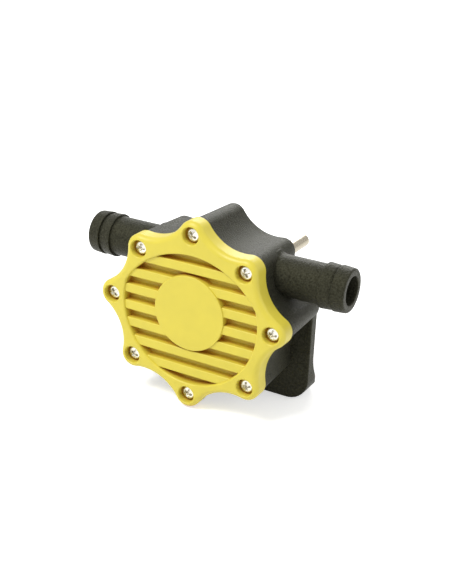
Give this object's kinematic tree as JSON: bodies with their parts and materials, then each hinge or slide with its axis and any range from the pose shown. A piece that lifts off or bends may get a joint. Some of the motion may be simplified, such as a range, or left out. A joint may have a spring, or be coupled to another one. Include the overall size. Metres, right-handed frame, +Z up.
{
  "type": "drill powered pump",
  "caption": "Self-priming flexible-impeller pump turned by a round shank in a drill chuck, with a ribbed round cover, two in-line hose tails and a screw-down foot.",
  "frame": {"origin": "on the underside of the foot, midway between its two screw holes", "axes": "+Z up, +Y along the drive shank towards the drill, +X towards the right-hand hose tail seen from the cover"},
  "size_m": [0.112, 0.1, 0.0769],
  "materials": {
    "black_plastic": "moulded glass-filled nylon, fine grain",
    "yellow_plastic": "moulded acetal, satin",
    "seal_rubber": "moulded nitrile rubber",
    "impeller_rubber": "moulded nitrile rubber, smooth",
    "zinc_screw": "zinc-plated steel, bright",
    "stainless_disc": "rolled stainless sheet",
    "bronze_bush": "sintered bronze",
    "pressed_steel": "pressed steel",
    "spring_steel": "phosphated spring steel",
    "bearing_steel": "ground and polished",
    "cage_nylon": "moulded nylon",
    "hub_metal": "turned",
    "shaft_steel": "ground, nickel plated"
  },
  "bodies": {
    "pump_body": {"housing": "black_plastic", "front_cover": "yellow_plastic", "cover_seal": "seal_rubber", "cover_screws": "zinc_screw", "front_wear_disc": "stainless_disc", "rear_wear_disc": "stainless_disc", "front_bush": "bronze_bush", "rear_bush": "bronze_bush", "seal_case": "pressed_steel", "seal_lip": "seal_rubber", "seal_spring": "spring_steel", "bearing_outer_race": "bearing_steel", "bearing_retaining_ring": "spring_steel", "dust_shield": "seal_rubber"},
    "rotor": {"drive_shaft": "shaft_steel", "impeller_hub": "hub_metal", "impeller_vanes": "impeller_rubber", "drive_pin": "shaft_steel", "shaft_clips": "spring_steel", "slinger": "seal_rubber", "bearing_inner_race": "bearing_steel"},
    "bearing_ball_set": {"bearing_balls": "bearing_steel", "bearing_cage": "cage_nylon"}
  },
  "joints": [
    {"name": "shaft_spin", "type": "hinge", "parent": "pump_body", "child": "rotor", "pos_m": [0, 0, 0.0402], "axis": [0, 1, 0], "continuous": true, "deforming": ["impeller_vanes"]},
    {"name": "cage_spin", "type": "hinge", "parent": "pump_body", "child": "bearing_ball_set", "pos_m": [0, 0, 0.0402], "axis": [0, 1, 0], "continuous": true}
  ],
  "couplings": [
    {"joint": "cage_spin", "follows": "shaft_spin", "ratio": 0.36}
  ]
}
